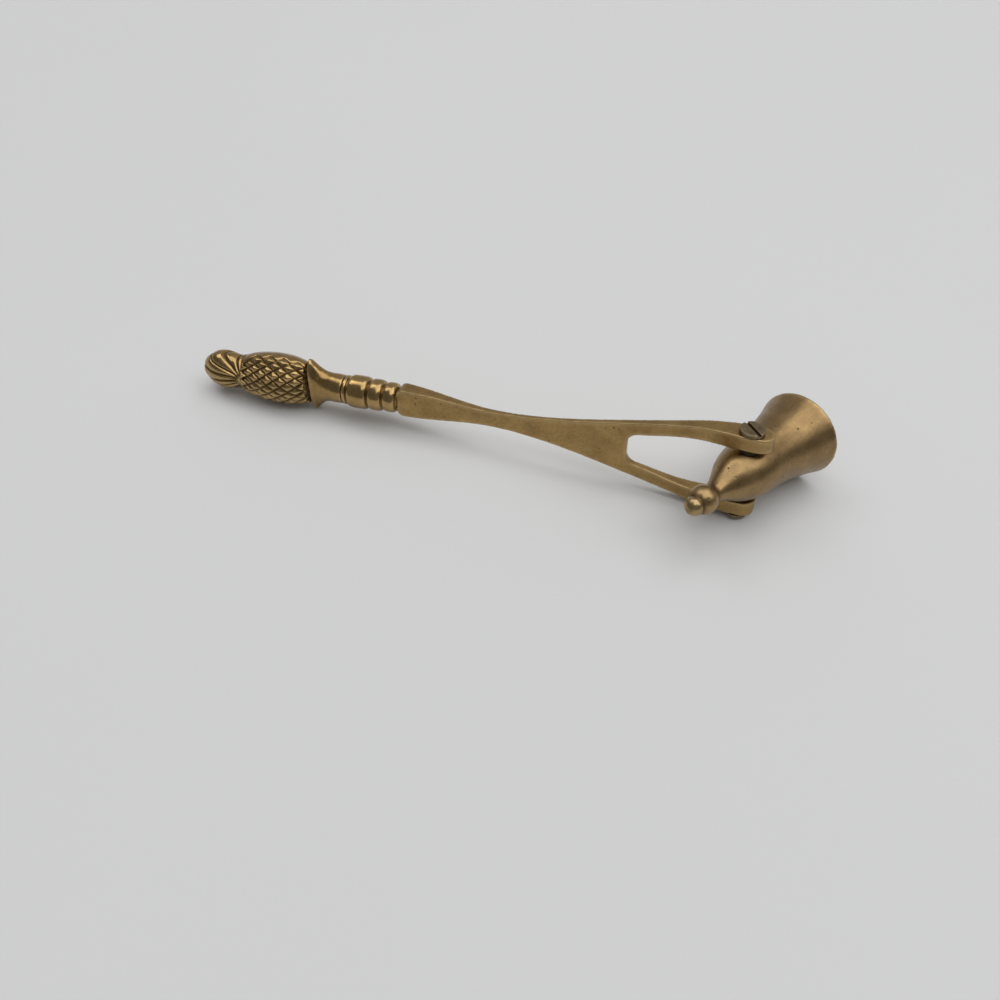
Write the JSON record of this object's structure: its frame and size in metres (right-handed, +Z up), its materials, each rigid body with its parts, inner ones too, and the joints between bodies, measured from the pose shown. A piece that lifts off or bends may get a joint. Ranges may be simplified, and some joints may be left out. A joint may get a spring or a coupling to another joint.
{
  "type": "candle snuffer",
  "caption": "Cast brass candle snuffer: a pineapple handle runs into a blade and fork, and a trumpet bell with a ball finial swings between the arms on pivot screws.",
  "frame": {"origin": "centre of the bounding box at its bottom, on the table the snuffer lies on", "axes": "+X along the handle from the pineapple crown to the fork, +Z up from the table, +Y away from the viewer, which is the side the bell's mouth is turned to"},
  "size_m": [0.2522, 0.064, 0.0395],
  "materials": {
    "handle_brass": "aged satin cast brass, darker in the cuts",
    "bell_brass": "aged satin turned brass",
    "screw_metal": "dull grey-brown tarnished brass",
    "collar_metal": "dark tarnished brass"
  },
  "bodies": {
    "handle": {"handle_casting": "handle_brass"},
    "bell": {"bell": "bell_brass", "pivot_screw_upper": "screw_metal", "pivot_screw_lower": "screw_metal", "pivot_collar_upper": "collar_metal", "pivot_collar_lower": "collar_metal"}
  },
  "joints": [
    {"name": "bell_swing", "type": "hinge", "parent": "handle", "child": "bell", "pos_m": [0.09571, -0.00501, 0.01975], "axis": [-0.0478, 0.1441, 0.9884], "range_deg": [-214, 91]}
  ]
}
